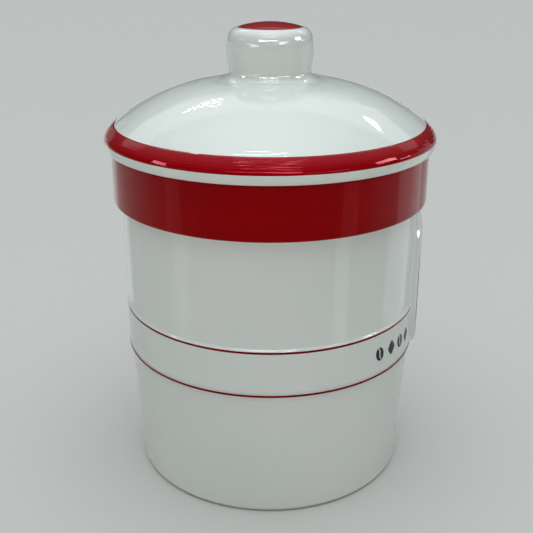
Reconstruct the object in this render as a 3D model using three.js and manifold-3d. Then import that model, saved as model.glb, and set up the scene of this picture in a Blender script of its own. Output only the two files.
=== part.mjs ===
// A round ceramic coffee canister with a lift-off domed lid.
// Millimetres, +Z up. The origin is the centre of the foot, on the surface it stands on.
// The raised plaque is the front and faces -Y.

import * as THREE from 'three';
import { mergeVertices } from 'three/addons/utils/BufferGeometryUtils.js';
import Module from 'manifold-3d';

// ---------------------------------------------------------------- driving dimensions

// Overall
const wallRadius = 65.9;         // outside of the wall, just under the collar
const jarHeight = 149.3;         // foot to the top of the mouth rim
const wallThickness = 5.5;       // fired body of the wall
const turns = 48;                // flats around each turned surface

// Fits
const restGap = 0.3;             // between pieces that touch
const lidPlay = 3.4;             // mouth to lid flange, bridged by the seal

// Jar
const baseInset = 3.6;           // how much the wall draws in towards the foot
const baseRounding = 3.0;        // radius of the bottom outer corner
const footWidth = 5.0;           // unglazed ring that the jar stands on
const footInset = 0.8;           // from the end of the bottom corner to the foot ring
const footDepth = 1.5;           // recess inside the foot ring
const floorThickness = 5.0;      // jar floor above the recess
const floorFillet = 9.0;         // inside corner between wall and floor
const rimRounding = 1.2;         // edges of the mouth rim

const collarHeight = 22.3;       // raised collar below the rim
const collarProud = 3.3;         // collar stands out from the wall
const collarStep = 1.0;          // height of the slope under the collar

const bandBottom = 58.9;         // raised band, foot to its lower edge
const bandHeight = 20.6;
const bandProud = 0.7;           // band stands out from the wall
const bandWallInset = 0.5;       // upper wall has drawn in by this much at the band
const lowerWallInset = 0.5;      // lower wall starts this much further in

const plaqueBottom = 52.0;       // foot to the lower edge of the plaque
const plaqueCollarGap = 7.0;     // plaque to collar
const plaqueHalfWidth = 36.0;
const plaqueProud = 2.1;         // plaque stands out from the band
const plaqueSquareness = 2.9;    // 2 is an ellipse, more is squarer
const plaqueSides = 48;

// Lid
const lidOverhang = 2.8;         // lid edge beyond the collar
const lipHeight = 4.2;           // white lip under the red band
const lipUndercut = 1.9;         // lip bottom is smaller than the lid edge
const shoulderHeight = 5.9;      // red band
const shoulderInset = 4.8;
const shoulderSteepness = 0.12;  // less turns the shoulder down sooner
const shoulderSeatLean = 0.6;    // how far the colour's seat moves in, per unit of its depth
const domeRise = 17.6;           // top of the red band to the foot of the knob
const domeRadiusAtKnob = 24.0;   // where the knob's fillet begins
const domeCornerOut = 2.5;       // fullness of the dome: outwards
const domeCornerDrop = 3.0;      // and down from the foot of the knob
const lidThickness = 4.5;
const flangeDepth = 10.5;        // ring that reaches into the mouth
const flangeThickness = 5.0;

// Knob
const neckRadius = 17.65;
const neckRise = 5.2;            // foot of the knob to the neck
const knobRadius = 18.6;
const knobWaistToWidest = 8.0;
const knobShoulderRise = 8.6;    // widest place to the rim of the coloured top
const capRadius = 13.6;
const capRise = 2.0;             // doming of the coloured top
const knobWall = 5.6;

// Seal
const sealHeight = 4.0;
const sealGrooveDepth = 2.2;
const sealLipDrop = 1.2;         // the outer lip is this much shorter, top and bottom

// Fired-on colour
const enamelThickness = 0.5;
const pinstripeWidth = 1.0;

// ---------------------------------------------------------------- derived places

const collarRadius = wallRadius + collarProud;
const collarBottom = jarHeight - collarHeight;
const mouthRadius = wallRadius - wallThickness;
const bandTop = bandBottom + bandHeight;
const bandWallRadius = wallRadius - bandWallInset;
const bandRadius = bandWallRadius + bandProud;
const baseRadius = wallRadius - baseInset;
const floorTop = footDepth + floorThickness;
const enamelBed = enamelThickness + restGap;      // depth of the seat cut for a colour layer

const lidSeat = jarHeight + restGap;
const lidRadius = collarRadius + lidOverhang;
const lipTop = lidSeat + lipHeight;
const shoulderTop = lipTop + shoulderHeight;
const shoulderRadius = lidRadius - shoulderInset;
const domeTop = shoulderTop + domeRise;
const neckTop = domeTop + neckRise;
const knobWidestHeight = neckTop + knobWaistToWidest;
const capEdgeHeight = knobWidestHeight + knobShoulderRise;
const knobTop = capEdgeHeight + capRise;
const flangeRadius = mouthRadius - lidPlay;
const flangeInner = flangeRadius - flangeThickness;
const flangeBottom = lidSeat - flangeDepth;
const grooveRadius = flangeRadius - sealGrooveDepth;
const grooveMiddle = lidSeat - flangeDepth / 2;

// ---------------------------------------------------------------- materials

const creamGlaze = { color: 0xd9d5c4, roughness: 0.22, metalness: 0 };
const redEnamel = { color: 0x8a0f1c, roughness: 0.18, metalness: 0 };
const darkRedEnamel = { color: 0x5c0a0a, roughness: 0.3, metalness: 0 };
const silicone = { color: 0xd8d8d2, roughness: 0.6, metalness: 0 };

// ---------------------------------------------------------------- helpers

const curveSteps = 4;
const wasm = await Module();
wasm.setup();

function pathOf(points) {
  // Each entry is [r, z] for a straight run, or [controlR, controlZ, r, z] for a curved one.
  const path = new THREE.Path();
  path.moveTo(points[0][0], points[0][1]);
  for (const point of points.slice(1)) {
    if (point.length === 2) path.lineTo(...point);
    else path.quadraticCurveTo(...point);
  }
  return path.getPoints(curveSteps);
}

function turned(profile) {
  // An outline walked anticlockwise gives faces that point out.
  const outline = THREE.ShapeUtils.area(profile) > 0 ? profile : profile.toReversed();
  const geometry = new THREE.LatheGeometry(outline, turns);
  geometry.rotateX(Math.PI / 2);
  return geometry;
}

function turnedRing(profile) {
  return turned([...profile, profile[0].clone()]);
}

function solidOf(geometry) {
  const bare = geometry.clone();
  bare.deleteAttribute('normal');
  bare.deleteAttribute('uv');
  const merged = mergeVertices(bare, 1e-4);
  return new wasm.Manifold(new wasm.Mesh({
    numProp: 3,
    vertProperties: Float32Array.from(merged.attributes.position.array),
    triVerts: Uint32Array.from(merged.index.array),
  }));
}

function geometryOf(solid) {
  const mesh = solid.getMesh();
  const geometry = new THREE.BufferGeometry();
  geometry.setAttribute('position', new THREE.BufferAttribute(mesh.vertProperties, 3));
  geometry.setIndex(new THREE.BufferAttribute(mesh.triVerts, 1));
  return geometry;
}

function piece(name, geometry, look) {
  const mesh = new THREE.Mesh(geometry, new THREE.MeshStandardMaterial(look));
  mesh.name = name;
  return mesh;
}

// ---------------------------------------------------------------- plaque outline

function plaqueBlock(grow, reach) {
  // A blunt oval column that runs out from the axis towards -Y.
  const top = collarBottom - plaqueCollarGap;
  const halfHeight = (top - plaqueBottom) / 2 + grow;
  const halfWidth = plaqueHalfWidth + grow;
  const power = 2 / plaqueSquareness;
  const outline = new THREE.Shape();
  for (let i = 0; i < plaqueSides; i += 1) {
    const angle = (2 * Math.PI * (i + 0.5)) / plaqueSides;
    const x = halfWidth * Math.sign(Math.cos(angle)) * Math.abs(Math.cos(angle)) ** power;
    const z = halfHeight * Math.sign(Math.sin(angle)) * Math.abs(Math.sin(angle)) ** power;
    if (i === 0) outline.moveTo(x, z);
    else outline.lineTo(x, z);
  }
  const block = new THREE.ExtrudeGeometry(outline, { depth: reach, bevelEnabled: false });
  block.rotateX(Math.PI / 2);
  block.translate(0, 0, (top + plaqueBottom) / 2);
  return solidOf(block);
}

// ---------------------------------------------------------------- jar

function jarProfile() {
  const bed = collarRadius - enamelBed;
  const stripeBed = bandRadius - enamelBed;
  const footOuter = baseRadius - baseRounding - footInset;
  const footInner = footOuter - footWidth;
  const innerBase = baseRadius - wallThickness;
  return pathOf([
    [0, footDepth],
    [footInner - footDepth, footDepth],
    [footInner, 0],
    [footOuter, 0],
    [footOuter + footInset, 0],
    [baseRadius, 0, baseRadius, baseRounding],
    [bandWallRadius - lowerWallInset, bandBottom - pinstripeWidth],
    [stripeBed, bandBottom - restGap],
    [stripeBed, bandBottom + pinstripeWidth + restGap],
    [bandRadius, bandBottom + pinstripeWidth + restGap],
    [bandRadius, bandTop - pinstripeWidth - restGap],
    [stripeBed, bandTop - pinstripeWidth - restGap],
    [stripeBed, bandTop + restGap],
    [bandWallRadius, bandTop + pinstripeWidth],
    [wallRadius, collarBottom - collarStep],
    [bed, collarBottom],
    [bed, jarHeight - rimRounding],
    [bed, jarHeight, bed - rimRounding, jarHeight],
    [mouthRadius + rimRounding, jarHeight],
    [mouthRadius, jarHeight, mouthRadius, jarHeight - rimRounding],
    [mouthRadius, collarBottom],
    [innerBase, floorTop + floorFillet],
    [innerBase, floorTop, innerBase - floorFillet, floorTop],
    [0, floorTop],
  ]);
}

function makeJar() {
  const skin = turnedRing(pathOf([
    [mouthRadius + wallThickness / 2, plaqueBottom - plaqueProud],
    [bandRadius + plaqueProud, plaqueBottom - plaqueProud],
    [bandRadius + plaqueProud, collarBottom - restGap],
    [mouthRadius + wallThickness / 2, collarBottom - restGap],
  ]));
  const plaque = solidOf(skin).intersect(plaqueBlock(0, lidRadius));
  return geometryOf(solidOf(turned(jarProfile())).add(plaque));
}

// ---------------------------------------------------------------- lid

function shoulderRun(inwards) {
  // The coloured shoulder from the dome down to the lid edge, or a copy of it set back into the body.
  const edge = lidRadius - inwards;
  return [
    [shoulderRadius - inwards * shoulderSeatLean, shoulderTop - inwards],
    [edge - shoulderInset * shoulderSteepness, lipTop + shoulderHeight / 2 - inwards / 2, edge, lipTop],
  ];
}

function lidProfile() {
  const domeCorner = (domeRadiusAtKnob + shoulderRadius) / 2 + domeCornerOut;
  const underKnob = domeTop - lidThickness;
  const hollow = neckRadius - knobWall;
  const hollowTop = capEdgeHeight - knobWall;
  const capBed = capEdgeHeight - enamelBed;
  const capSeat = capRadius + restGap;
  const capRim = capEdgeHeight - restGap;
  const grooveHalf = sealHeight / 2 + restGap;
  return pathOf([
    [0, capBed + capRise],
    [capRadius / 2, capBed + capRise, capSeat, capBed],
    [capSeat, capRim],
    [knobRadius, capRim, knobRadius, knobWidestHeight],
    [knobRadius, (neckTop + knobWidestHeight) / 2, neckRadius, neckTop],
    [neckRadius, domeTop, domeRadiusAtKnob, domeTop],
    [domeCorner, domeTop - domeCornerDrop, shoulderRadius - restGap, shoulderTop + restGap],
    ...shoulderRun(enamelBed),
    [lidRadius, lipTop - restGap],
    [lidRadius, lidSeat, lidRadius - lipUndercut, lidSeat],
    [flangeRadius, lidSeat],
    [flangeRadius, grooveMiddle + grooveHalf],
    [grooveRadius, grooveMiddle + grooveHalf],
    [grooveRadius, grooveMiddle - grooveHalf],
    [flangeRadius, grooveMiddle - grooveHalf],
    [flangeRadius, flangeBottom + rimRounding],
    [flangeRadius, flangeBottom, flangeRadius - rimRounding, flangeBottom],
    [flangeInner, flangeBottom],
    [flangeInner, shoulderTop],
    [flangeInner, underKnob - domeCornerDrop, domeRadiusAtKnob, underKnob],
    [hollow, underKnob],
    [hollow, knobWidestHeight],
    [hollow, hollowTop, hollow / 2, hollowTop],
    [0, hollowTop],
  ]);
}

// ---------------------------------------------------------------- seal and colour layers

function sealProfile() {
  const inner = grooveRadius + restGap;
  const outer = mouthRadius - restGap;
  const body = flangeRadius + restGap;
  const half = sealHeight / 2;
  return pathOf([
    [inner, grooveMiddle - half],
    [body, grooveMiddle - half],
    [outer, grooveMiddle - half + sealLipDrop],
    [outer, grooveMiddle + half - sealLipDrop],
    [body, grooveMiddle + half],
    [inner, grooveMiddle + half],
  ]);
}

function sleeveProfile(radius, bottom, top) {
  return pathOf([
    [radius - enamelThickness, bottom],
    [radius, bottom],
    [radius, top],
    [radius - enamelThickness, top],
  ]);
}

function shoulderEnamelProfile() {
  const outside = pathOf(shoulderRun(0));
  const inside = pathOf(shoulderRun(enamelThickness));
  return [...outside, ...inside.reverse()];
}

function capEnamelProfile() {
  const underTop = knobTop - enamelThickness;
  return pathOf([
    [0, underTop],
    [capRadius / 2, underTop, capRadius, capEdgeHeight - enamelThickness],
    [capRadius, capEdgeHeight],
    [capRadius / 2, knobTop, 0, knobTop],
  ]);
}

function pinstripe(bottom) {
  const ring = turnedRing(sleeveProfile(bandRadius, bottom, bottom + pinstripeWidth));
  return geometryOf(solidOf(ring).subtract(plaqueBlock(restGap, lidRadius)));
}

// ---------------------------------------------------------------- assembly

const group = new THREE.Group();

const jar = new THREE.Group();
jar.add(piece('jar_body', makeJar(), creamGlaze));
jar.add(piece('collar_enamel', turnedRing(sleeveProfile(collarRadius, collarBottom, jarHeight - rimRounding)),
  redEnamel));
jar.add(piece('upper_pinstripe', pinstripe(bandTop - pinstripeWidth), darkRedEnamel));
jar.add(piece('lower_pinstripe', pinstripe(bandBottom), darkRedEnamel));
group.add(jar);

const lid = new THREE.Group();
lid.add(piece('lid_shell', turned(lidProfile()), creamGlaze));
lid.add(piece('lid_seal', turnedRing(sealProfile()), silicone));
lid.add(piece('shoulder_enamel', turnedRing(shoulderEnamelProfile()), redEnamel));
lid.add(piece('knob_cap_enamel', turned(capEnamelProfile()), redEnamel));
group.add(lid);

export default group;
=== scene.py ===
"""Looks of the ceramic canister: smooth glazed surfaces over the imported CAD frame.

Every length is in metres. Places come from the CAD nodes' boxes. The named sizes below are the curve
handles that a box can't give, and they repeat the part's own values.
"""
import math

import bmesh
import bpy
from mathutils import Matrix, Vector


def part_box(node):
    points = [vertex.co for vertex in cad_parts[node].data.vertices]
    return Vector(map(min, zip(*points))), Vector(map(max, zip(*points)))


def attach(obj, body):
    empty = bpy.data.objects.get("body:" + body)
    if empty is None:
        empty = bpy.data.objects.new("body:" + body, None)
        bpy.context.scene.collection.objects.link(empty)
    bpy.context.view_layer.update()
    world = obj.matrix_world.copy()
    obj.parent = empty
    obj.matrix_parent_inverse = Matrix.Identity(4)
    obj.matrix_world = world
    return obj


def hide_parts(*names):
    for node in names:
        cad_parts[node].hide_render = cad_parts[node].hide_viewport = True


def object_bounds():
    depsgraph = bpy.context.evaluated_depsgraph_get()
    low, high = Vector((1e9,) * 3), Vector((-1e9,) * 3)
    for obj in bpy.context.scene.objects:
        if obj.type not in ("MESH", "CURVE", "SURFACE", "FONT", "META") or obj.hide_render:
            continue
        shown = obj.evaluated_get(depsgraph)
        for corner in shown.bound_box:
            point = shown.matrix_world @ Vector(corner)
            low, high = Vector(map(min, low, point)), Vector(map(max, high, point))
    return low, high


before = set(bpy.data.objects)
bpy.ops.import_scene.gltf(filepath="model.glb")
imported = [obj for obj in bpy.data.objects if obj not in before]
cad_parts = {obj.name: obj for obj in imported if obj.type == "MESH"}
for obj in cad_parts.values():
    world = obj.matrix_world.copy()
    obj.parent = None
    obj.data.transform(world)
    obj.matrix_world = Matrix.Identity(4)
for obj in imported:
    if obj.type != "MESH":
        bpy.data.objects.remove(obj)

cad_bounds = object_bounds()
MM = 0.001
TURN_STEPS = 288                 # segments round each turned surface
CURVE_STEPS = 14                 # points along each rounded stretch of an outline
DOME_STEPS = 30                  # and along the dome
LONGEST_EDGE = 2.0 * MM          # longest straight edge in the outline of the lid or a colour
LONGEST_JAR_EDGE = 3.0 * MM      # and of the jar

# ---------------------------------------------------------------- places from the frame


def reach(node):
    """Radius of a turned CAD node about the axis."""
    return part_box(node)[1][0]


def low(node):
    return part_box(node)[0][2]


def high(node):
    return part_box(node)[1][2]


COLLAR_R = reach("collar_enamel")
COLLAR_LOW = low("collar_enamel")
JAR_TOP = high("jar_body")
BAND_R = reach("lower_pinstripe")
BAND_LOW = low("lower_pinstripe")
BAND_HIGH = high("upper_pinstripe")
LINE_WIDTH = high("upper_pinstripe") - low("upper_pinstripe")
LID_R = reach("shoulder_enamel")
SHOULDER_LOW = low("shoulder_enamel")
SHOULDER_HIGH = high("shoulder_enamel")
CAP_R = reach("knob_cap_enamel")
CAP_TOP = high("knob_cap_enamel")
FLANGE_LOW = low("lid_shell")
SEAL_R = reach("lid_seal")
SEAL_LOW = low("lid_seal")
SEAL_HIGH = high("lid_seal")
PLAQUE_R = -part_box("jar_body")[0][1]

# Jar
WALL_R = 65.9 * MM
WALL_THICKNESS = 5.5 * MM
BAND_WALL_R = WALL_R - 0.5 * MM
LOWER_WALL_R = BAND_WALL_R - 0.5 * MM
BASE_R = WALL_R - 3.6 * MM
BASE_ROUNDING = 3.0 * MM
FOOT_OUTER = BASE_R - BASE_ROUNDING - 0.8 * MM
FOOT_INNER = FOOT_OUTER - 5.0 * MM
FOOT_DEPTH = 1.5 * MM
FLOOR_TOP = FOOT_DEPTH + 5.0 * MM
FLOOR_FILLET = 9.0 * MM
MOUTH_R = WALL_R - WALL_THICKNESS
RIM_ROUNDING = 1.2 * MM

# Lid
REST_GAP = 0.3 * MM
LID_SEAT = JAR_TOP + REST_GAP
LIP_UNDERCUT = 1.9 * MM
SHOULDER_INSET = 4.8 * MM
SHOULDER_STEEPNESS = 0.12
DOME_TOP = SHOULDER_HIGH + 17.6 * MM
DOME_R_AT_KNOB = 24.0 * MM
DOME_CORNER_OUT = 2.5 * MM
DOME_CORNER_DROP = 3.0 * MM
LID_THICKNESS = 4.5 * MM
FLANGE_R = MOUTH_R - 3.4 * MM
FLANGE_INNER = FLANGE_R - 5.0 * MM
GROOVE_R = FLANGE_R - 2.2 * MM
NECK_R = 17.65 * MM
NECK_TOP = DOME_TOP + 5.2 * MM
KNOB_R = 18.6 * MM
KNOB_WIDEST = NECK_TOP + 8.0 * MM
CAP_EDGE = KNOB_WIDEST + 8.6 * MM
KNOB_WALL = 5.6 * MM

# Plaque and decoration
PLAQUE_LOW = 52.0 * MM
PLAQUE_HIGH = COLLAR_LOW - 7.0 * MM
PLAQUE_HALF_WIDTH = 36.0 * MM
PLAQUE_SQUARENESS = 2.9
ENAMEL_PROUD = 0.06 * MM         # a fired colour stands this far out of the glaze
ENAMEL_SUNK = 0.25 * MM          # and its back is this far inside it
KNOB_TOP = CAP_TOP - ENAMEL_PROUD         # glaze under the colour on the knob

# ---------------------------------------------------------------- camera

CAMERA_AZIMUTH = math.radians(-106.0)     # round the jar from the plaque
CAMERA_DISTANCE = 377.6 * MM
CAMERA_HEIGHT = 237.1 * MM
CAMERA_PITCH = math.radians(21.17)
CAMERA_YAW = math.radians(0.24)
CAMERA_LENS = 58.76
SENSOR = 36.0


def make_camera():
    data = bpy.data.cameras.new("camera")
    data.lens = CAMERA_LENS
    data.sensor_width = SENSOR
    data.clip_start = 0.01
    data.clip_end = 30.0
    camera = bpy.data.objects.new("camera", data)
    bpy.context.scene.collection.objects.link(camera)
    camera.location = (
        CAMERA_DISTANCE * math.sin(CAMERA_AZIMUTH),
        -CAMERA_DISTANCE * math.cos(CAMERA_AZIMUTH),
        CAMERA_HEIGHT,
    )
    camera.rotation_euler = (math.pi / 2 - CAMERA_PITCH, 0.0, CAMERA_AZIMUTH + CAMERA_YAW)
    bpy.context.scene.camera = camera


# ---------------------------------------------------------------- outlines


def outline(start, *runs, steps=CURVE_STEPS):
    """Points of an outline: [r, z] is a straight run, [control r, control z, r, z] a curved one."""
    points = [tuple(start)]
    for run in runs:
        if len(run) == 2:
            points.append(tuple(run))
            continue
        r0, z0 = points[-1]
        rc, zc, r1, z1 = run
        for i in range(1, steps + 1):
            t = i / steps
            a, b, c = (1 - t) ** 2, 2 * t * (1 - t), t * t
            points.append((a * r0 + b * rc + c * r1, a * z0 + b * zc + c * z1))
    return points


def divided(points, longest):
    """The same outline with no straight stretch longer than `longest`."""
    result = [points[0]]
    for (r0, z0), (r1, z1) in zip(points, points[1:]):
        count = max(1, math.ceil(math.hypot(r1 - r0, z1 - z0) / longest))
        for i in range(1, count + 1):
            t = i / count
            result.append((r0 + (r1 - r0) * t, z0 + (z1 - z0) * t))
    return result


# ---------------------------------------------------------------- mesh helpers


ON_AXIS = 1e-7                   # a radius below this counts as zero


def finish_mesh(name, mesh_data, body, material, nodes=()):
    """Put a smooth mesh in the scene as one piece of a body."""
    for polygon in mesh_data.polygons:
        polygon.use_smooth = True
    piece = bpy.data.objects.new(name, mesh_data)
    bpy.context.scene.collection.objects.link(piece)
    mesh_data.materials.append(material)
    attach(piece, body)
    if nodes:
        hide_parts(*nodes)


def mesh_from(name, points, faces):
    """A mesh with its faces turned outwards."""
    data = bpy.data.meshes.new(name)
    shape = bmesh.new()
    verts = [shape.verts.new(p) for p in points]
    for face in faces:
        shape.faces.new([verts[i] for i in face])
    bmesh.ops.recalc_face_normals(shape, faces=shape.faces)
    shape.to_mesh(data)
    shape.free()
    return data


def between(a, b):
    """Faces between two closed rows of point numbers. A row of one point makes a fan."""
    faces = []
    count = max(len(a), len(b))
    for i in range(count):
        j = (i + 1) % count
        if len(a) == 1:
            faces.append((a[0], b[i], b[j]))
        elif len(b) == 1:
            faces.append((a[i], b[0], a[j]))
        else:
            faces.append((a[i], b[i], b[j], a[j]))
    return faces


def between_all(rows):
    return [face for a, b in zip(rows, rows[1:]) for face in between(a, b)]


def turned(name, profile, steps=TURN_STEPS):
    """A closed mesh turned about Z. A profile that touches the axis gets one point there."""
    points = []
    rows = []
    for r, z in profile:
        start = len(points)
        for i in range(1 if r < ON_AXIS else steps):
            angle = 2 * math.pi * i / steps
            points.append((r * math.cos(angle), r * math.sin(angle), z))
        rows.append(range(start, len(points)))
    if len(rows[0]) > 1:
        rows.append(rows[0])
    return mesh_from(name, points, between_all(rows))


def offset_profile(points, distance):
    """An open outline moved sideways, to the left of its direction when distance is positive."""
    moved = []
    for i, (r, z) in enumerate(points):
        r0, z0 = points[max(0, i - 1)]
        r1, z1 = points[min(len(points) - 1, i + 1)]
        length = math.hypot(r1 - r0, z1 - z0)
        moved.append((r - (z1 - z0) / length * distance, z + (r1 - r0) / length * distance))
    return moved


def enamel_ring(surface):
    """Closed outline of a thin fired layer that follows an open stretch of surface, given upwards
    and outwards, with its edges rounded down into the glaze."""
    proud = offset_profile(surface, ENAMEL_PROUD)
    proud[0] = surface[0]
    proud[-1] = surface[-1]
    sunk = offset_profile(surface, -ENAMEL_SUNK)
    return proud + sunk[::-1]


# ---------------------------------------------------------------- materials


NOISE_LOW = 0.3                  # nearly all of a noise texture lies between these two
NOISE_HIGH = 0.7


class Nodes:
    """Short forms for building a node tree."""

    def __init__(self, name):
        self.material = bpy.data.materials.new(name)
        self.material.use_nodes = True
        self.tree = self.material.node_tree
        self.shader = self.tree.nodes["Principled BSDF"]

    def add(self, kind, **inputs):
        node = self.tree.nodes.new(kind)
        for key, value in inputs.items():
            node.inputs[key].default_value = value
        return node

    def link(self, source, target):
        self.tree.links.new(source, target)

    def noise(self, vector, scale, detail=3.0, roughness=0.5):
        node = self.add("ShaderNodeTexNoise", Scale=scale, Detail=detail, Roughness=roughness)
        self.link(vector, node.inputs["Vector"])
        return node.outputs["Fac"]

    def spread(self, vector, scale, detail, lowest=0.0, highest=1.0):
        """Noise with its usual range stretched from lowest to highest."""
        return self.span(self.noise(vector, scale, detail), NOISE_LOW, NOISE_HIGH, lowest, highest)

    def stretch(self, vector, scale):
        node = self.add("ShaderNodeMapping")
        node.inputs["Scale"].default_value = scale
        self.link(vector, node.inputs["Vector"])
        return node.outputs["Vector"]

    def span(self, value, lowest, highest, to_low=0.0, to_high=1.0):
        node = self.add("ShaderNodeMapRange")
        node.inputs["From Min"].default_value = lowest
        node.inputs["From Max"].default_value = highest
        node.inputs["To Min"].default_value = to_low
        node.inputs["To Max"].default_value = to_high
        self.link(value, node.inputs["Value"])
        return node.outputs["Result"]

    def math(self, operation, first, second=None):
        node = self.tree.nodes.new("ShaderNodeMath")
        node.operation = operation
        for socket, value in zip(node.inputs, (first, second)):
            if value is None:
                continue
            if isinstance(value, (int, float)):
                socket.default_value = value
            else:
                self.link(value, socket)
        return node.outputs[0]

    def mix(self, factor, first, second):
        node = self.tree.nodes.new("ShaderNodeMix")
        node.data_type = "RGBA"
        self.link(factor, node.inputs["Factor"])
        for key, value in (("A", first), ("B", second)):
            socket = next(s for s in node.inputs if s.name == key and s.type == "RGBA")
            if isinstance(value, tuple):
                socket.default_value = (*value, 1.0)
            else:
                self.link(value, socket)
        return next(s for s in node.outputs if s.type == "RGBA")

    def bump(self, height, distance, strength=1.0, normal=None):
        node = self.add("ShaderNodeBump", Strength=strength, Distance=distance)
        self.link(height, node.inputs["Height"])
        if normal is not None:
            self.link(normal, node.inputs["Normal"])
        return node.outputs["Normal"]


def place_of(nodes):
    return nodes.add("ShaderNodeTexCoord").outputs["Object"]


GLAZE_IOR = 1.55
GLAZE_MARK_PITCH = 2.3 * MM      # turning marks, measured along the surface
ENAMEL_IOR = 1.5
ENAMEL_MARK_PITCH = 1.6 * MM
ENAMEL_TINT = (1.0, 0.14, 0.20, 1.0)
MARK_WANDER = 0.7                # marks stray from even spacing by up to this share of the pitch
WAVE_STRETCH = (1.0, 1.0, 0.4)   # the glaze's waves are longer downwards, as it ran
WAVE_STRENGTH = 0.6
PEEL_DEPTH = 0.004 * MM
SPECK_COLOUR = (0.20, 0.16, 0.11)


def turning_marks(nodes, place, pitch, depth, normal):
    """Very shallow rings round the axis, uneven in depth and spacing, left under the glaze by the tool."""
    split = nodes.add("ShaderNodeSeparateXYZ")
    nodes.link(place, split.inputs["Vector"])
    x, y, z = split.outputs
    squared = nodes.math("ADD", nodes.math("MULTIPLY", x, x), nodes.math("MULTIPLY", y, y))
    wander = nodes.spread(place, 26.0, 2.0, lowest=-MARK_WANDER * pitch, highest=MARK_WANDER * pitch)
    along = nodes.math("ADD", nodes.math("SUBTRACT", nodes.math("SQRT", squared), z), wander)
    wave = nodes.math("SINE", nodes.math("MULTIPLY", along, 2 * math.pi / pitch))
    patches = nodes.noise(nodes.stretch(place, (8.0, 8.0, 60.0)), scale=3.0)
    fade = nodes.span(patches, 0.38, 0.68)
    return nodes.bump(nodes.math("MULTIPLY", wave, fade), depth, normal=normal)


def make_glaze(name, colour, pooled, marks_depth):
    """Clear-over-cream glaze: faint pooling, sparse iron specks, slow waviness and fine orange peel."""
    nodes = Nodes(name)
    place = place_of(nodes)
    pool = nodes.spread(nodes.stretch(place, (9.0, 9.0, 5.0)), scale=1.6, detail=4.0)
    base = nodes.mix(pool, colour, pooled)
    specks = nodes.add("ShaderNodeTexVoronoi", Scale=95.0)
    nodes.link(place, specks.inputs["Vector"])
    sparse = nodes.span(nodes.noise(place, scale=42.0, detail=1.0), 0.64, 0.68)
    dot = nodes.span(specks.outputs["Distance"], 0.03, 0.055, to_low=0.55, to_high=0.0)
    speck = nodes.math("MULTIPLY", dot, sparse)
    nodes.link(nodes.mix(speck, base, SPECK_COLOUR), nodes.shader.inputs["Base Color"])
    rough = nodes.spread(place, scale=55.0, detail=5.0, lowest=0.02, highest=0.07)
    nodes.link(rough, nodes.shader.inputs["Roughness"])
    waves = nodes.noise(nodes.stretch(place, WAVE_STRETCH), scale=52.0, detail=1.5)
    slow = nodes.bump(waves, 0.8 * MM, WAVE_STRENGTH)
    peel = nodes.bump(nodes.noise(place, scale=700.0, detail=1.0), PEEL_DEPTH, normal=slow)
    marks = turning_marks(nodes, place, GLAZE_MARK_PITCH, marks_depth, peel)
    nodes.link(marks, nodes.shader.inputs["Normal"])
    nodes.shader.inputs["IOR"].default_value = GLAZE_IOR
    nodes.shader.inputs["Subsurface Weight"].default_value = 0.06
    nodes.shader.inputs["Subsurface Radius"].default_value = (0.004, 0.003, 0.002)
    nodes.shader.inputs["Subsurface Scale"].default_value = 1.0
    return nodes.material


def make_enamel(name, colour, deep, marks_depth=0.0, shine=0.3):
    """Fired colour: brushed on in bands round the axis, so its depth varies in streaks."""
    nodes = Nodes(name)
    place = place_of(nodes)
    streak = nodes.spread(nodes.stretch(place, (6.0, 6.0, 260.0)), scale=1.5, detail=4.0)
    cloud = nodes.spread(place, scale=30.0, detail=4.0)
    depth = nodes.math("MULTIPLY", nodes.math("ADD", streak, cloud), 0.5)
    nodes.link(nodes.mix(depth, colour, deep), nodes.shader.inputs["Base Color"])
    rough = nodes.spread(place, scale=90.0, detail=5.0, lowest=0.02, highest=0.07)
    nodes.link(rough, nodes.shader.inputs["Roughness"])
    waves = nodes.noise(nodes.stretch(place, WAVE_STRETCH), scale=52.0, detail=1.5)
    slow = nodes.bump(waves, 0.6 * MM, WAVE_STRENGTH)
    normal = nodes.bump(nodes.noise(place, scale=900.0, detail=1.0), PEEL_DEPTH, normal=slow)
    if marks_depth:
        normal = turning_marks(nodes, place, ENAMEL_MARK_PITCH, marks_depth, normal)
    nodes.link(normal, nodes.shader.inputs["Normal"])
    nodes.shader.inputs["IOR"].default_value = ENAMEL_IOR
    nodes.shader.inputs["Specular IOR Level"].default_value = shine
    nodes.shader.inputs["Specular Tint"].default_value = ENAMEL_TINT
    return nodes.material


def make_ink(name, colour, worn):
    """Thin transfer print, slightly broken where the colour is thin."""
    nodes = Nodes(name)
    place = place_of(nodes)
    thin = nodes.span(nodes.noise(place, scale=900.0, detail=5.0, roughness=0.7), 0.45, 0.75)
    nodes.link(nodes.mix(thin, colour, worn), nodes.shader.inputs["Base Color"])
    rough = nodes.spread(place, scale=300.0, detail=3.0, lowest=0.12, highest=0.28)
    nodes.link(rough, nodes.shader.inputs["Roughness"])
    grain = nodes.bump(nodes.noise(place, scale=1400.0, detail=2.0), 0.01 * MM)
    nodes.link(grain, nodes.shader.inputs["Normal"])
    nodes.shader.inputs["Specular IOR Level"].default_value = 0.25
    return nodes.material


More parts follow.
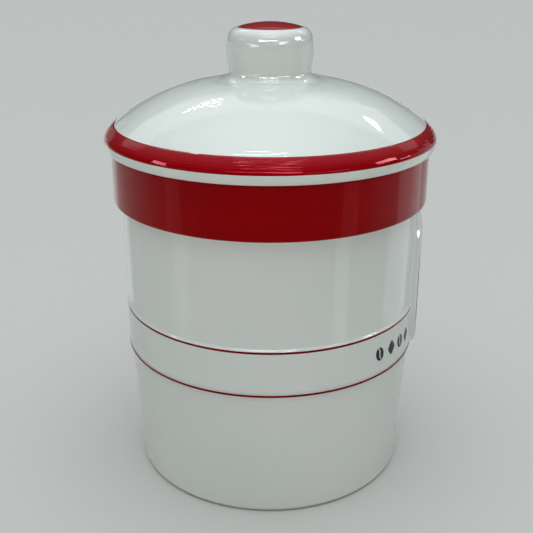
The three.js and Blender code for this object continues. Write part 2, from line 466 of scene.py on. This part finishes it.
def make_silicone(name):
    """Milky silicone with a fine matt skin."""
    nodes = Nodes(name)
    place = place_of(nodes)
    cloud = nodes.spread(place, scale=60.0, detail=4.0)
    base = nodes.mix(cloud, (0.74, 0.74, 0.70), (0.82, 0.82, 0.79))
    nodes.link(base, nodes.shader.inputs["Base Color"])
    rough = nodes.spread(place, scale=500.0, detail=4.0, lowest=0.42, highest=0.6)
    nodes.link(rough, nodes.shader.inputs["Roughness"])
    grain = nodes.bump(nodes.noise(place, scale=2500.0, detail=2.0), 0.02 * MM)
    nodes.link(grain, nodes.shader.inputs["Normal"])
    nodes.shader.inputs["Subsurface Weight"].default_value = 0.2
    nodes.shader.inputs["Subsurface Radius"].default_value = (0.003, 0.003, 0.003)
    nodes.shader.inputs["Subsurface Scale"].default_value = 1.0
    return nodes.material


# ---------------------------------------------------------------- jar

BAND_EDGE = 0.9 * MM             # height of the soft step at each edge of the raised band
BAND_LIP = 0.3 * MM              # rounding of the band's upper edge
BAND_TOE_OUT = 0.1 * MM          # handle of the curve under the band: out from the wall
BAND_TOE_DROP = 0.2 * MM         # and below the band
COLLAR_EDGE = 0.8 * MM           # rounding of the collar's edges
COLLAR_FILLET_OUT = 1.0 * MM     # curve between the wall and the underside of the collar
COLLAR_FILLET_DROP = 2.0 * MM
WALL_DRAW = 0.1 * MM             # how far the wall has drawn in where that curve starts
COLOUR_START = 1.6 * MM          # the red under the collar starts this far out from the wall
FOOT_EDGE = 0.3 * MM             # rounding inside the foot ring


def wall_outline():
    """Outside of the jar from the foot ring up to the mouth."""
    above_band = BAND_HIGH + 3 * BAND_LIP
    return outline(
        (FOOT_OUTER, 0.0),
        (BASE_R - BASE_ROUNDING, 0.0),
        (BASE_R, 0.0, BASE_R, BASE_ROUNDING),
        (LOWER_WALL_R, BAND_LOW - BAND_EDGE),
        (LOWER_WALL_R + BAND_TOE_OUT, BAND_LOW - BAND_TOE_DROP, BAND_R, BAND_LOW),
        (BAND_R, BAND_HIGH),
        (BAND_R, BAND_HIGH + BAND_LIP, BAND_R - BAND_LIP, BAND_HIGH + 2 * BAND_LIP),
        (BAND_WALL_R, above_band, BAND_WALL_R, above_band + BAND_EDGE),
        (WALL_R - WALL_DRAW, COLLAR_LOW - COLLAR_FILLET_DROP),
        (WALL_R, COLLAR_LOW, WALL_R + COLLAR_FILLET_OUT, COLLAR_LOW),
        (COLLAR_R - COLLAR_EDGE, COLLAR_LOW),
        (COLLAR_R, COLLAR_LOW, COLLAR_R, COLLAR_LOW + COLLAR_EDGE),
        (COLLAR_R, JAR_TOP - COLLAR_EDGE),
        (COLLAR_R, JAR_TOP, COLLAR_R - COLLAR_EDGE, JAR_TOP),
        (MOUTH_R + RIM_ROUNDING, JAR_TOP),
        (MOUTH_R, JAR_TOP, MOUTH_R, JAR_TOP - RIM_ROUNDING),
    )


def jar_outline():
    inner_base = BASE_R - WALL_THICKNESS
    inside = outline(
        (MOUTH_R, JAR_TOP - RIM_ROUNDING),
        (MOUTH_R, COLLAR_LOW),
        (inner_base, FLOOR_TOP + FLOOR_FILLET),
        (inner_base, FLOOR_TOP, inner_base - FLOOR_FILLET, FLOOR_TOP),
        (0.0, FLOOR_TOP),
    )
    under = outline(
        (0.0, FOOT_DEPTH),
        (FOOT_INNER - FOOT_DEPTH, FOOT_DEPTH),
        (FOOT_INNER - FOOT_EDGE, FOOT_DEPTH, FOOT_INNER, 0.0),
    )
    return divided(under + wall_outline() + inside[1:], LONGEST_JAR_EDGE)


def wall_radius(z):
    """Outside radius of the jar's wall at a height."""
    points = wall_outline()
    for (r0, z0), (r1, z1) in zip(points, points[1:]):
        if z0 <= z <= z1 and z1 > z0:
            return r0 + (r1 - r0) * (z - z0) / (z1 - z0)
    return COLLAR_R


def make_jar(glaze):
    finish_mesh("jar", turned("jar", jar_outline()), "jar", glaze, ["jar_body"])


def make_collar(enamel):
    surface = outline(
        (WALL_R + COLOUR_START, COLLAR_LOW),
        (COLLAR_R - COLLAR_EDGE, COLLAR_LOW),
        (COLLAR_R, COLLAR_LOW, COLLAR_R, COLLAR_LOW + COLLAR_EDGE),
        (COLLAR_R, JAR_TOP - COLLAR_EDGE),
        (COLLAR_R, JAR_TOP, COLLAR_R - COLLAR_EDGE, JAR_TOP),
    )
    ring = enamel_ring(divided(surface, LONGEST_EDGE)[::-1])
    finish_mesh("collar_colour", turned("collar_colour", ring), "jar", enamel,
                ["collar_enamel"])


# ---------------------------------------------------------------- plaque and decoration

PLAQUE_MIDDLE = (PLAQUE_LOW + PLAQUE_HIGH) / 2
PLAQUE_HALF_HEIGHT = (PLAQUE_HIGH - PLAQUE_LOW) / 2
PLAQUE_SIDES = 192
PLAQUE_BACK = 0.98               # share of the outline that the hidden back of the plaque has
# Rounded edge of the plaque: (growth of its outline in mm, share of its height above the wall).
PLAQUE_EDGE = ((1.9, -0.03), (1.5, 0.0), (1.1, 0.05), (0.75, 0.16), (0.5, 0.34), (0.3, 0.55), (0.1, 0.76),
               (-0.2, 0.9), (-0.6, 0.975), (-1.1, 1.0))
PLAQUE_FACE_RINGS = 9            # rings inside the rounded edge, closer together near it
PLAQUE_FACE_REACH = 33.0         # how far in the last one lies, in mm
PLAQUE_FACE_SPACING = 0.8
NARROWEST = 0.2 * MM             # half size of the smallest ring
INK_LINE = (1.1 * MM, 2.0 * MM)  # the plaque's black line, from and to, inwards from its outline
RED_LINE = (3.9 * MM, 4.4 * MM)

# Decoration in millimetres and degrees: (across, up from the plaque's middle, lean or diameter)
EMBLEM_BEANS = ((0.0, 9.0, 0.0), (-9.5, 3.0, 28.0), (9.5, 3.0, -28.0))
EMBLEM_LEAVES = ((7.0, -10.5, 8.0), (14.5, -7.5, 30.0), (20.0, -1.5, 58.0))
EMBLEM_DOTS = ((0.0, 20.0, 2.4), (-4.5, 20.0, 1.6), (4.5, 20.0, 1.6))
EMBLEM_BEAN_SIZE = (8.5 * MM, 12.0 * MM)
EMBLEM_LEAF_SIZE = (8.5 * MM, 3.2 * MM)
BAND_BEAN_SIZE = (5.0 * MM, 6.6 * MM)
BAND_BEAN_LEAN = math.radians(-18.0)
BAND_LOZENGE_SIZE = (5.2 * MM, 6.8 * MM)
BAND_MARK_ANGLES = (40.0, 46.5, 53.5, 61.0)      # round the jar from the middle of the plaque
LOZENGE_HOLLOW = 1.5             # 1 has straight sides, more is hollower
BEAN_SLIT = 0.07                 # half width and bend of a bean's slit, as a share of its width
BEAN_SLIT_LEAST = 0.02
LEAF_FULLNESS = 0.9
SIDES = ((-1, "left"), (1, "right"))
PINSTRIPE_STEPS = 240
PINSTRIPE_ROUND = 0.12           # share of the width that each rounded edge takes


def powered(value, power):
    """value to a power, with its sign kept."""
    return math.copysign(abs(value) ** power, value)


def blunt_oval(half_width, half_height, count=PLAQUE_SIDES):
    """Points round a superellipse, as (across, up) from its middle."""
    power = 2 / PLAQUE_SQUARENESS
    points = []
    for i in range(count):
        angle = 2 * math.pi * (i + 0.5) / count
        points.append((half_width * powered(math.cos(angle), power),
                       half_height * powered(math.sin(angle), power)))
    return points


def on_front(across, up, radius):
    """A point on the front of a cylinder: across is the straight distance to the right of -Y."""
    angle = math.asin(max(-1.0, min(1.0, across / radius)))
    return (radius * math.sin(angle), -radius * math.cos(angle), PLAQUE_MIDDLE + up)


def make_plaque(glaze):
    """Raised field with a rounded edge and a skirt that runs out into the wall."""
    face_start = PLAQUE_EDGE[-1][0]
    rings = list(PLAQUE_EDGE)
    for i in range(1, PLAQUE_FACE_RINGS + 1):
        inwards = PLAQUE_FACE_REACH * (i / PLAQUE_FACE_RINGS) ** PLAQUE_FACE_SPACING
        rings.append((face_start - inwards, 1.0))
    points = []
    for across, up in blunt_oval(PLAQUE_HALF_WIDTH, PLAQUE_HALF_HEIGHT):
        points.append(on_front(across * PLAQUE_BACK, up * PLAQUE_BACK, WALL_R - WALL_THICKNESS / 2))
    rows = [range(PLAQUE_SIDES)]
    for grow, share in rings:
        width = max(NARROWEST, PLAQUE_HALF_WIDTH + grow * MM)
        height = max(NARROWEST, PLAQUE_HALF_HEIGHT + grow * MM * PLAQUE_HALF_HEIGHT / PLAQUE_HALF_WIDTH)
        rows.append(range(len(points), len(points) + PLAQUE_SIDES))
        for across, up in blunt_oval(width, height):
            wall = wall_radius(PLAQUE_MIDDLE + up)
            points.append(on_front(across, up, wall + (PLAQUE_R - wall) * share))
    faces = [tuple(rows[0]), tuple(rows[-1])] + between_all(rows)
    finish_mesh("front_plaque", mesh_from("front_plaque", points, faces), "jar", glaze)


def strip(name, line, material):
    """A thin printed line round the plaque. line is how far inwards it starts and ends."""
    points = []
    for lift in (ENAMEL_PROUD, -ENAMEL_SUNK):
        for inset in (line if lift > 0 else line[::-1]):
            oval = blunt_oval(PLAQUE_HALF_WIDTH - inset, PLAQUE_HALF_HEIGHT - inset)
            points += [on_front(across, up, PLAQUE_R + lift) for across, up in oval]
    rows = [range(i * PLAQUE_SIDES, (i + 1) * PLAQUE_SIDES) for i in range(4)]
    line_mesh = mesh_from(name, points, between_all(rows + rows[:1]))
    finish_mesh(name, line_mesh, "jar", material)


def plaque_edge_angle(z):
    """Half of the angle that the plaque covers at a height."""
    up = abs(z - PLAQUE_MIDDLE) / PLAQUE_HALF_HEIGHT
    across = PLAQUE_HALF_WIDTH * (1 - up ** PLAQUE_SQUARENESS) ** (1 / PLAQUE_SQUARENESS)
    return math.asin(across / BAND_R)


def pinstripe(name, bottom, node, material):
    """A thin line round the band that stops at the plaque on both sides."""
    points = []
    rows = []
    half_angle = plaque_edge_angle(bottom + LINE_WIDTH / 2)
    section = ((ENAMEL_PROUD, PINSTRIPE_ROUND), (ENAMEL_PROUD, 1 - PINSTRIPE_ROUND), (0.0, 1.0),
               (-ENAMEL_SUNK, 1.0), (-ENAMEL_SUNK, 0.0), (0.0, 0.0))
    for i in range(PINSTRIPE_STEPS + 1):
        angle = -math.pi / 2 + half_angle + (2 * math.pi - 2 * half_angle) * i / PINSTRIPE_STEPS
        rows.append(range(len(points), len(points) + len(section)))
        for lift, share in section:
            r = BAND_R + lift
            points.append((r * math.cos(angle), r * math.sin(angle), bottom + LINE_WIDTH * share))
    faces = [tuple(rows[0]), tuple(rows[-1])] + between_all(rows)
    finish_mesh(name, mesh_from(name, points, faces), "jar", material, [node])


def patch(name, shape, azimuth, height, radius, material, tilt=0.0):
    """A small thin printed shape that wraps round the jar. shape is its outline as (across, up) points
    about its middle, and every point of the outline is in sight of the middle."""
    c, s = math.cos(tilt), math.sin(tilt)
    tilted = [(a * c - u * s, a * s + u * c) for a, u in shape]
    # From the middle of the face out to its edge, and back to the middle of the hidden side.
    layers = [(ENAMEL_PROUD, share) for share in (0.0, 0.35, 0.7, 0.97)] + [(0.0, 1.0)]
    layers += [(-ENAMEL_SUNK, share) for share in (1.0, 0.5, 0.0)]
    points = []
    rows = []
    for lift, share in layers:
        start = len(points)
        for a, u in (tilted if share else tilted[:1]):
            angle = azimuth + a * share / radius
            r = radius + lift
            points.append((r * math.sin(angle), -r * math.cos(angle), height + u * share))
        rows.append(range(start, len(points)))
    finish_mesh(name, mesh_from(name, points, between_all(rows)), "jar", material)


def lozenge(width, height, count=32):
    """A lozenge with hollowed sides."""
    points = []
    for i in range(count):
        angle = 2 * math.pi * i / count
        points.append((width / 2 * powered(math.cos(angle), LOZENGE_HOLLOW),
                       height / 2 * powered(math.sin(angle), LOZENGE_HOLLOW)))
    return points


def half_bean(side, width, height, count=28):
    """One half of a bean: half an ellipse outside, and a gently bent slit towards the other half."""
    points = []
    for i in range(count):
        t = 2 * i / count
        if t < 1:
            angle = math.pi * t - math.pi / 2
            across = width / 2 * math.cos(angle)
            up = height / 2 * math.sin(angle)
        else:
            up = height / 2 * (3 - 2 * t)
            across = width * BEAN_SLIT * (1 + side * math.sin(math.pi * up / (height / 2)))
        points.append((side * max(across, width * BEAN_SLIT_LEAST), up))
    return points


def leaf(length, width, count=32):
    """A pointed leaf that lies on its side."""
    points = []
    for i in range(count):
        angle = 2 * math.pi * i / count
        along = math.cos(angle)
        bulge = (1 - along ** 2) ** LEAF_FULLNESS
        points.append((length / 2 * along, width / 2 * bulge * (1 if math.sin(angle) >= 0 else -1)))
    return points


def disc(diameter, count=24):
    angles = [2 * math.pi * i / count for i in range(count)]
    return [(diameter / 2 * math.cos(angle), diameter / 2 * math.sin(angle)) for angle in angles]


def bean(name, azimuth, height, radius, size, tilt, material):
    for side, label in SIDES:
        shape = half_bean(side, *size)
        middle = (sum(a for a, _ in shape) / len(shape), sum(u for _, u in shape) / len(shape))
        centred = [(a - middle[0], u - middle[1]) for a, u in shape]
        across = middle[0] * math.cos(tilt) - middle[1] * math.sin(tilt)
        rise = middle[0] * math.sin(tilt) + middle[1] * math.cos(tilt)
        patch(f"{name}_{label}", centred, azimuth + across / radius, height + rise, radius, material, tilt)


def make_emblem(ink, line_red):
    """A plain emblem: three beans over a spray of leaves, with three dots above."""
    for i, (across, up, lean) in enumerate(EMBLEM_BEANS):
        bean(f"emblem_bean_{i + 1}", across * MM / PLAQUE_R, PLAQUE_MIDDLE + up * MM, PLAQUE_R,
             EMBLEM_BEAN_SIZE, math.radians(lean), ink)
    for side, label in SIDES:
        for i, (across, up, lean) in enumerate(EMBLEM_LEAVES):
            azimuth = side * across * MM / PLAQUE_R
            patch(f"emblem_leaf_{label}_{i + 1}", leaf(*EMBLEM_LEAF_SIZE), azimuth,
                  PLAQUE_MIDDLE + up * MM, PLAQUE_R, line_red, side * math.radians(lean))
    for i, (across, up, diameter) in enumerate(EMBLEM_DOTS):
        patch(f"emblem_dot_{i + 1}", disc(diameter * MM), across * MM / PLAQUE_R, PLAQUE_MIDDLE + up * MM,
              PLAQUE_R, ink)


def make_band_marks(ink):
    """Lozenges and beans in turn along the band on both sides of the plaque."""
    middle = (BAND_LOW + BAND_HIGH) / 2
    for side, label in SIDES:
        for i, degrees in enumerate(BAND_MARK_ANGLES):
            azimuth = side * math.radians(degrees)
            if i % 2:
                bean(f"band_bean_{label}_{i + 1}", azimuth, middle, BAND_R, BAND_BEAN_SIZE,
                     side * BAND_BEAN_LEAN, ink)
            else:
                patch(f"band_lozenge_{label}_{i + 1}", lozenge(*BAND_LOZENGE_SIZE), azimuth,
                      middle, BAND_R, ink)


# ---------------------------------------------------------------- lid

FLANGE_FILLET = 1.0 * MM         # where the lid's underside turns down into the flange
HOLLOW_FILLET = 1.5 * MM         # where it turns up into the hollow of the knob
CAP_DROP = 0.4 * MM              # how far the knob's edge rounds over below the cap
SEAL_ROUND = 0.5 * MM
SEAL_LIP_UP = 1.3 * MM           # tip of the lower lip, above the foot of the seal
SEAL_LIP_DOWN = 0.7 * MM         # tip of the upper lip, above the middle of the seal
SEAL_LIP_UNDER = 0.45 * MM       # thickness of a lip under and over its tip
SEAL_LIP_OVER = 0.3 * MM
SEAL_STEPS = 6


def shoulder_surface():
    middle = (SHOULDER_HIGH + SHOULDER_LOW) / 2
    return outline(
        (LID_R - SHOULDER_INSET, SHOULDER_HIGH),
        (LID_R - SHOULDER_INSET * SHOULDER_STEEPNESS, middle, LID_R, SHOULDER_LOW),
    )


def knob_surface():
    """From the top of the knob down to the dome."""
    return outline(
        (0.0, KNOB_TOP),
        (CAP_R / 2, KNOB_TOP, CAP_R, CAP_EDGE),
        (KNOB_R, CAP_EDGE - CAP_DROP, KNOB_R, KNOB_WIDEST),
        (KNOB_R, (NECK_TOP + KNOB_WIDEST) / 2, NECK_R, NECK_TOP),
        (NECK_R, DOME_TOP, DOME_R_AT_KNOB, DOME_TOP),
    )


def lid_outline():
    dome_corner = (DOME_R_AT_KNOB + LID_R - SHOULDER_INSET) / 2 + DOME_CORNER_OUT
    under_knob = DOME_TOP - LID_THICKNESS
    hollow = NECK_R - KNOB_WALL
    hollow_top = CAP_EDGE - KNOB_WALL
    dome = outline(
        (DOME_R_AT_KNOB, DOME_TOP),
        (dome_corner, DOME_TOP - DOME_CORNER_DROP, LID_R - SHOULDER_INSET, SHOULDER_HIGH),
        steps=DOME_STEPS,
    )
    edge = outline(
        (LID_R, SHOULDER_LOW),
        (LID_R, LID_SEAT, LID_R - LIP_UNDERCUT, LID_SEAT),
        (FLANGE_R + FLANGE_FILLET, LID_SEAT),
        (FLANGE_R, LID_SEAT, FLANGE_R, LID_SEAT - FLANGE_FILLET),
        (FLANGE_R, SEAL_HIGH + REST_GAP),
        (GROOVE_R, SEAL_HIGH + REST_GAP),
        (GROOVE_R, SEAL_LOW - REST_GAP),
        (FLANGE_R, SEAL_LOW - REST_GAP),
        (FLANGE_R, FLANGE_LOW + RIM_ROUNDING),
        (FLANGE_R, FLANGE_LOW, FLANGE_R - RIM_ROUNDING, FLANGE_LOW),
        (FLANGE_INNER + RIM_ROUNDING, FLANGE_LOW),
        (FLANGE_INNER, FLANGE_LOW, FLANGE_INNER, FLANGE_LOW + RIM_ROUNDING),
        (FLANGE_INNER, SHOULDER_HIGH),
        (FLANGE_INNER, under_knob - DOME_CORNER_DROP, DOME_R_AT_KNOB, under_knob),
        (hollow + HOLLOW_FILLET, under_knob),
        (hollow, under_knob, hollow, under_knob + HOLLOW_FILLET),
        (hollow, KNOB_WIDEST),
        (hollow, hollow_top, hollow / 2, hollow_top),
        (0.0, hollow_top),
    )
    return knob_surface() + dome[1:] + shoulder_surface()[1:] + edge[1:]


def make_lid(glaze, enamel, cap_enamel):
    profile = divided(lid_outline(), LONGEST_EDGE)
    finish_mesh("lid", turned("lid", profile), "lid", glaze, ["lid_shell"])
    ring = enamel_ring(shoulder_surface())
    finish_mesh("shoulder_colour", turned("shoulder_colour", ring), "lid", enamel,
                ["shoulder_enamel"])
    cap = outline((0.0, KNOB_TOP), (CAP_R / 2, KNOB_TOP, CAP_R, CAP_EDGE))
    raised = [(r, z + ENAMEL_PROUD) for r, z in cap[:-1]] + [cap[-1]]
    sunk = [(r, z - ENAMEL_SUNK) for r, z in cap]
    finish_mesh("knob_cap_colour", turned("knob_cap_colour", raised + sunk[::-1]), "lid",
                cap_enamel, ["knob_cap_enamel"])


def make_seal(silicone):
    """A ring with a rounded back in the groove and two thin wiping lips."""
    middle = (SEAL_LOW + SEAL_HIGH) / 2
    inner = GROOVE_R + REST_GAP
    body = FLANGE_R + REST_GAP
    lips = []
    for tip in (SEAL_LOW + SEAL_LIP_UP, middle + SEAL_LIP_DOWN):
        lips.append((body + SEAL_ROUND, tip - SEAL_LIP_UNDER, SEAL_R, tip))
        lips.append((body + SEAL_ROUND, tip + SEAL_LIP_OVER, body, tip + SEAL_ROUND))
    profile = outline(
        (inner, SEAL_LOW + SEAL_ROUND),
        (inner, SEAL_LOW, inner + SEAL_ROUND, SEAL_LOW),
        (body, SEAL_LOW),
        *lips,
        (body, SEAL_HIGH),
        (inner + SEAL_ROUND, SEAL_HIGH),
        (inner, SEAL_HIGH, inner, SEAL_HIGH - SEAL_ROUND),
        steps=SEAL_STEPS,
    )
    finish_mesh("seal_ring", turned("seal_ring", profile), "seal", silicone, ["lid_seal"])


# ---------------------------------------------------------------- studio


COOL = (0.93, 0.97, 1.0)
WARM = (1.0, 0.96, 0.90)
WHITE = (1.0, 1.0, 1.0)
LAMP_DISTANCE = 1.6              # metres from the object, for lamps that only show as reflections
STREAK_DISTANCE = 0.21
FLOOR_HALF = 8.0
FLOOR_COLOUR = (0.59, 0.565, 0.535)
FLOOR_ROUGHNESS = 0.75
FLOOR_SHINE = 0.1
BACKDROP_R = 7.5
BACKDROP_LOW = -0.01
BACKDROP_HIGH = 8.0
BACKDROP_SIDES = 96
BACKDROP_COLOUR = (0.97, 0.98, 0.98)
BACKDROP_LIGHT = 0.5
SKY_COLOUR = (0.88, 0.96, 1.0)
SKY_HORIZON = 0.065
SKY_ZENITH = 2.5
SKY_STEEPNESS = 3.2

# (name, azimuth, elevation, width and height in degrees, radiance, height of the point it faces)
LAMPS = (
    # Rows of lamps in front, each lower than the one before as they run away from the canister.
    ("front_row_1", -5, 30, 46, 9, 16.0, KNOB_WIDEST),
    ("front_row_2_left", -79, 21, 12, 8, 16.0, KNOB_WIDEST),
    ("front_row_2_right", 38, 18, 30, 5, 10.0, KNOB_WIDEST),
    ("front_row_2_far_right", 86, 24, 16, 10, 18.0, KNOB_WIDEST),
    ("front_row_3_left", -46, 8, 34, 4, 6.0, KNOB_WIDEST),
    ("front_row_3_right", 100, 13, 12, 5, 8.0, KNOB_WIDEST),
    ("front_overhead_1", 2, 47, 30, 2.5, 12.0, SHOULDER_HIGH),
    ("front_overhead_2", 2, 60, 30, 2.5, 12.0, SHOULDER_HIGH),
    ("front_overhead_3", 2, 73, 30, 2.5, 12.0, SHOULDER_HIGH),
    ("front_overhead_4", 2, 86, 30, 2.5, 12.0, SHOULDER_HIGH),
    # Lamps and wall behind, seen in the dome.
    ("back_wall", 178, 42, 100, 20, 0.7, DOME_TOP),
    ("back_left_lamp", 201, 39, 11, 1.0, 12.0, SHOULDER_HIGH),
    ("back_right_lamp", 142, 40, 8, 1.2, 14.0, SHOULDER_HIGH),
)
# Upright panels that give the soft streaks down the wall: (name, azimuth, width in degrees, radiance)
STREAKS = (
    ("left_edge_streak", -132, 16, 0.22),
    ("left_streak", -60, 12, 0.38),
    ("right_streak", 48, 10, 0.55),
    ("right_edge_streak", 104, 34, 0.45),
)
STREAK_TALL = 50                 # degrees


def studio_mesh(name, points, faces):
    """Put a studio piece in the scene and return it with the inputs of its shader."""
    data = mesh_from(name, points, faces)
    piece = bpy.data.objects.new(name, data)
    bpy.context.scene.collection.objects.link(piece)
    nodes = Nodes(name)
    data.materials.append(nodes.material)
    return piece, nodes.shader.inputs


def make_floor():
    half = FLOOR_HALF
    corners = [(-half, -half, 0), (half, -half, 0), (half, half, 0), (-half, half, 0)]
    floor, inputs = studio_mesh("studio_floor", corners, [(0, 1, 2, 3)])
    inputs["Base Color"].default_value = (*FLOOR_COLOUR, 1.0)
    inputs["Roughness"].default_value = FLOOR_ROUGHNESS
    inputs["Specular IOR Level"].default_value = FLOOR_SHINE


def make_backdrop():
    """A pale drum far behind everything. It fills the view above the floor and lights nothing."""
    points = []
    for z in (BACKDROP_LOW, BACKDROP_HIGH):
        for i in range(BACKDROP_SIDES):
            angle = 2 * math.pi * i / BACKDROP_SIDES
            points.append((BACKDROP_R * math.cos(angle), BACKDROP_R * math.sin(angle), z))
    rows = [range(BACKDROP_SIDES), range(BACKDROP_SIDES, 2 * BACKDROP_SIDES)]
    backdrop, inputs = studio_mesh("studio_backdrop", points, between(*rows))
    backdrop.visible_diffuse = False
    backdrop.visible_glossy = False
    backdrop.visible_transmission = False
    backdrop.visible_shadow = False
    inputs["Base Color"].default_value = (0.0, 0.0, 0.0, 1.0)
    inputs["Emission Color"].default_value = (*BACKDROP_COLOUR, 1.0)
    inputs["Emission Strength"].default_value = BACKDROP_LIGHT


def softbox(name, azimuth, elevation, distance, size, power, aim, colour=WHITE):
    """An area light that looks at a height on the object's axis. Azimuth counts from the camera."""
    data = bpy.data.lights.new(name, "AREA")
    data.shape = "RECTANGLE"
    data.size, data.size_y = size
    data.energy = power
    data.color = colour
    light = bpy.data.objects.new(name, data)
    bpy.context.scene.collection.objects.link(light)
    around = CAMERA_AZIMUTH + math.radians(azimuth)
    up = math.radians(elevation)
    toward = Vector((math.sin(around) * math.cos(up), -math.cos(around) * math.cos(up), math.sin(up)))
    light.location = Vector((0.0, 0.0, aim)) + toward * distance
    light.rotation_euler = toward.to_track_quat("Z", "Y").to_euler()
    return light


def glint(name, azimuth, elevation, wide, tall, radiance, aim, distance=LAMP_DISTANCE):
    """A lamp that shows only as a reflection. Its width and height are angles in degrees."""
    width = 2 * distance * math.tan(math.radians(wide) / 2)
    height = 2 * distance * math.tan(math.radians(tall) / 2)
    power = radiance * math.pi * width * height
    light = softbox(name, azimuth, elevation, distance, (width, height), power, aim, COOL)
    light.visible_diffuse = False
    light.visible_camera = False


def make_world():
    """A smooth studio dome: dim at the horizon and bright overhead."""
    world = bpy.data.worlds.new("studio")
    world.use_nodes = True
    tree = world.node_tree
    background = tree.nodes["Background"]
    background.inputs["Color"].default_value = (*SKY_COLOUR, 1.0)
    place = tree.nodes.new("ShaderNodeTexCoord")
    split = tree.nodes.new("ShaderNodeSeparateXYZ")
    tree.links.new(place.outputs["Generated"], split.inputs["Vector"])
    rise = tree.nodes.new("ShaderNodeMath")
    rise.operation = "POWER"
    rise.inputs[1].default_value = SKY_STEEPNESS
    tree.links.new(split.outputs["Z"], rise.inputs[0])
    level = tree.nodes.new("ShaderNodeMapRange")
    level.inputs["To Min"].default_value = SKY_HORIZON
    level.inputs["To Max"].default_value = SKY_ZENITH
    tree.links.new(rise.outputs[0], level.inputs["Value"])
    tree.links.new(level.outputs["Result"], background.inputs["Strength"])
    bpy.context.scene.world = world


def make_studio():
    make_world()
    make_floor()
    make_backdrop()
    fill = softbox("front_fill", -4, 12, 1.2, (0.9, 0.2), 1.5, BAND_LOW, WARM)
    fill.visible_glossy = False
    for lamp in LAMPS:
        glint(*lamp)
    middle = (cad_bounds[0][2] + cad_bounds[1][2]) / 2
    for name, azimuth, wide, radiance in STREAKS:
        glint(name, azimuth, 0, wide, STREAK_TALL, radiance, middle, STREAK_DISTANCE)


# ---------------------------------------------------------------- build

bpy.context.scene.view_settings.view_transform = "Standard"
make_camera()

# Jar and lid wear the same cream glaze. The jar's colours, its pooled tone most, are set a little darker
# than the lid's as painted shade for the upright wall, which gets less light than the upward-facing dome.
jar_glaze = make_glaze("jar_glaze", (0.75, 0.77, 0.73), (0.68, 0.71, 0.67), 0.004 * MM)
lid_glaze = make_glaze("lid_glaze", (0.76, 0.78, 0.73), (0.72, 0.75, 0.70), 0.018 * MM)
collar_red = make_enamel("collar_red", (0.31, 0.0, 0.0), (0.23, 0.0, 0.0))
shoulder_red = make_enamel("shoulder_red", (0.34, 0.0, 0.003), (0.27, 0.0, 0.002), 0.024 * MM)
cap_red = make_enamel("cap_red", (0.33, 0.0, 0.006), (0.28, 0.0, 0.004), shine=0.1)
line_red = make_enamel("line_red", (0.21, 0.002, 0.003), (0.15, 0.001, 0.002))
black_ink = make_ink("black_ink", (0.004, 0.004, 0.005), (0.02, 0.02, 0.022))

make_jar(jar_glaze)
make_collar(collar_red)
make_plaque(jar_glaze)
strip("plaque_outline", INK_LINE, black_ink)
strip("plaque_inner_line", RED_LINE, line_red)
make_emblem(black_ink, line_red)
make_band_marks(black_ink)
pinstripe("upper_line", BAND_HIGH - LINE_WIDTH, "upper_pinstripe", line_red)
pinstripe("lower_line", BAND_LOW, "lower_pinstripe", line_red)
make_lid(lid_glaze, shoulder_red, cap_red)
make_seal(make_silicone("silicone"))
make_studio()
